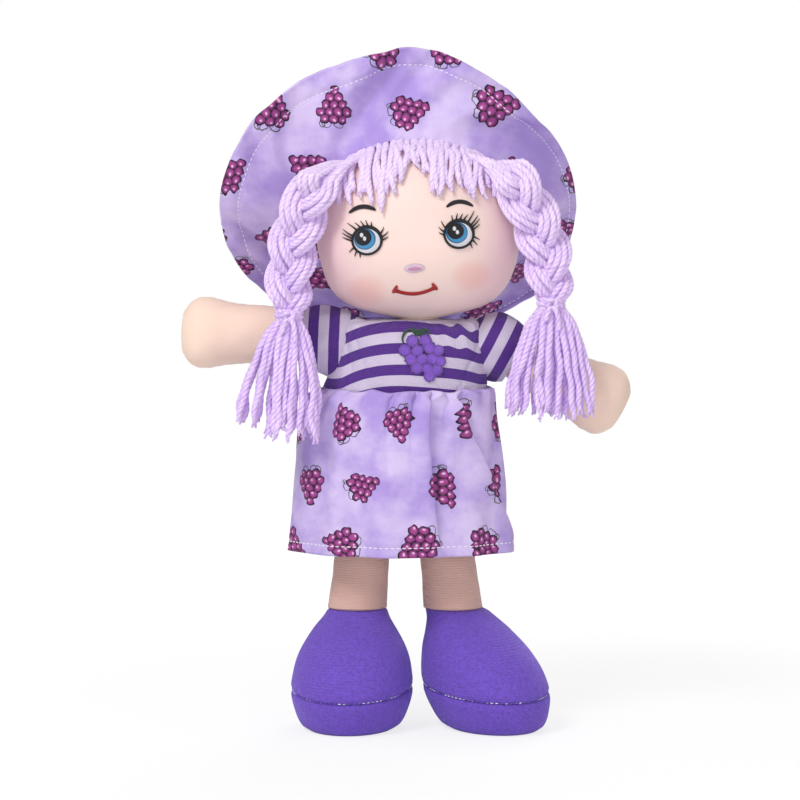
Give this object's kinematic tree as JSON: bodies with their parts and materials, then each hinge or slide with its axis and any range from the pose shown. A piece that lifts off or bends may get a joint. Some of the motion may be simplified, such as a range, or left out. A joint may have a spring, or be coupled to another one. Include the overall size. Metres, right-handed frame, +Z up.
{
  "type": "rag doll",
  "caption": "Stuffed cloth doll in a soft sun hat, yarn braids, striped shirt and gathered skirt; head, arms and legs move at their seams and it stands on its soles",
  "frame": {"origin": "on the floor, under the middle of the standing doll's bounding box", "axes": "+Z up, the doll faces -Y, its right side is -X"},
  "size_m": [0.1992, 0.0962, 0.3002],
  "materials": {
    "face_cloth": "smooth satin cloth",
    "velour": "brushed knit",
    "leg_knit": "fine ribbed knit",
    "stuffing": "loose fibre",
    "velvet": "violet velvet",
    "white_thread": "sewing thread",
    "black_thread": "embroidery thread",
    "blue_thread": "embroidery thread",
    "red_thread": "embroidery thread",
    "pink_thread": "embroidery thread",
    "berry_thread": "satin stitch",
    "green_thread": "satin stitch",
    "jersey": "striped jersey",
    "printed_cotton": "printed plain weave",
    "yarn": "plied acrylic yarn",
    "elastic": "woven elastic"
  },
  "bodies": {
    "torso": {"torso_skin": "velour", "torso_filling": "stuffing", "shirt_body": "jersey", "waist_elastic": "elastic", "skirt": "printed_cotton", "hem_stitch": "white_thread", "grape_berries": "berry_thread", "grape_leaf": "green_thread"},
    "neck": {"neck_skin": "face_cloth", "neck_filling": "stuffing"},
    "head": {"head_skin": "face_cloth", "head_filling": "stuffing", "right_eye_rim": "black_thread", "right_eye_white": "white_thread", "right_eye_iris": "blue_thread", "right_eye_pupil": "black_thread", "left_eye_rim": "black_thread", "left_eye_white": "white_thread", "left_eye_iris": "blue_thread", "left_eye_pupil": "black_thread", "right_brow": "black_thread", "left_brow": "black_thread", "nose": "pink_thread", "mouth": "red_thread", "fringe": "yarn", "hat_crown": "printed_cotton", "hat_brim": "printed_cotton", "brim_stitch": "white_thread"},
    "right_hair": {"right_braid": "yarn", "right_braid_tie": "yarn", "right_tassel": "yarn"},
    "left_hair": {"left_braid": "yarn", "left_braid_tie": "yarn", "left_tassel": "yarn"},
    "right_arm": {"right_arm_skin": "velour", "right_arm_filling": "stuffing", "right_sleeve": "jersey"},
    "left_arm": {"left_arm_skin": "velour", "left_arm_filling": "stuffing", "left_sleeve": "jersey"},
    "right_leg": {"right_leg_skin": "leg_knit", "right_leg_filling": "stuffing", "right_shoe_upper": "velvet", "right_shoe_sole": "velvet", "right_shoe_filling": "stuffing", "right_shoe_seam": "white_thread", "right_hip_seam": "velour"},
    "left_leg": {"left_leg_skin": "leg_knit", "left_leg_filling": "stuffing", "left_shoe_upper": "velvet", "left_shoe_sole": "velvet", "left_shoe_filling": "stuffing", "left_shoe_seam": "white_thread", "left_hip_seam": "velour"}
  },
  "joints": [
    {"name": "head_turn", "type": "hinge", "parent": "torso", "child": "neck", "pos_m": [0.0052, -0.0056, 0.176], "axis": [0, 0, 1], "range_deg": [-15, 15], "deforming": ["hat_brim", "brim_stitch", "right_braid", "right_braid_tie", "right_tassel", "left_braid", "left_braid_tie", "left_tassel"]},
    {"name": "head_nod", "type": "hinge", "parent": "neck", "child": "head", "pos_m": [0.0052, -0.0056, 0.183], "axis": [1, 0, 0], "range_deg": [-10, 10]},
    {"name": "right_braid_swing", "type": "hinge", "parent": "head", "child": "right_hair", "pos_m": [-0.0321, -0.0326, 0.247], "axis": [0, 1, 0], "range_deg": [0, 40]},
    {"name": "left_braid_swing", "type": "hinge", "parent": "head", "child": "left_hair", "pos_m": [0.0379, -0.0326, 0.249], "axis": [0, -1, 0], "range_deg": [0, 40]},
    {"name": "right_shoulder", "type": "hinge", "parent": "torso", "child": "right_arm", "pos_m": [-0.0301, -0.0026, 0.172], "axis": [0, 1, 0], "range_deg": [-38, 35], "deforming": ["right_sleeve"]},
    {"name": "left_shoulder", "type": "hinge", "parent": "torso", "child": "left_arm", "pos_m": [0.0349, -0.0026, 0.172], "axis": [0, -1, 0], "range_deg": [-8, 60], "deforming": ["left_sleeve"]},
    {"name": "right_hip", "type": "hinge", "parent": "torso", "child": "right_leg", "pos_m": [-0.0161, -0.0056, 0.116], "axis": [-1, 0, 0], "range_deg": [-25, 90], "deforming": ["skirt", "hem_stitch"]},
    {"name": "left_hip", "type": "hinge", "parent": "torso", "child": "left_leg", "pos_m": [0.0139, -0.0056, 0.116], "axis": [-1, 0, 0], "range_deg": [-25, 90], "deforming": ["skirt", "hem_stitch"]}
  ]
}
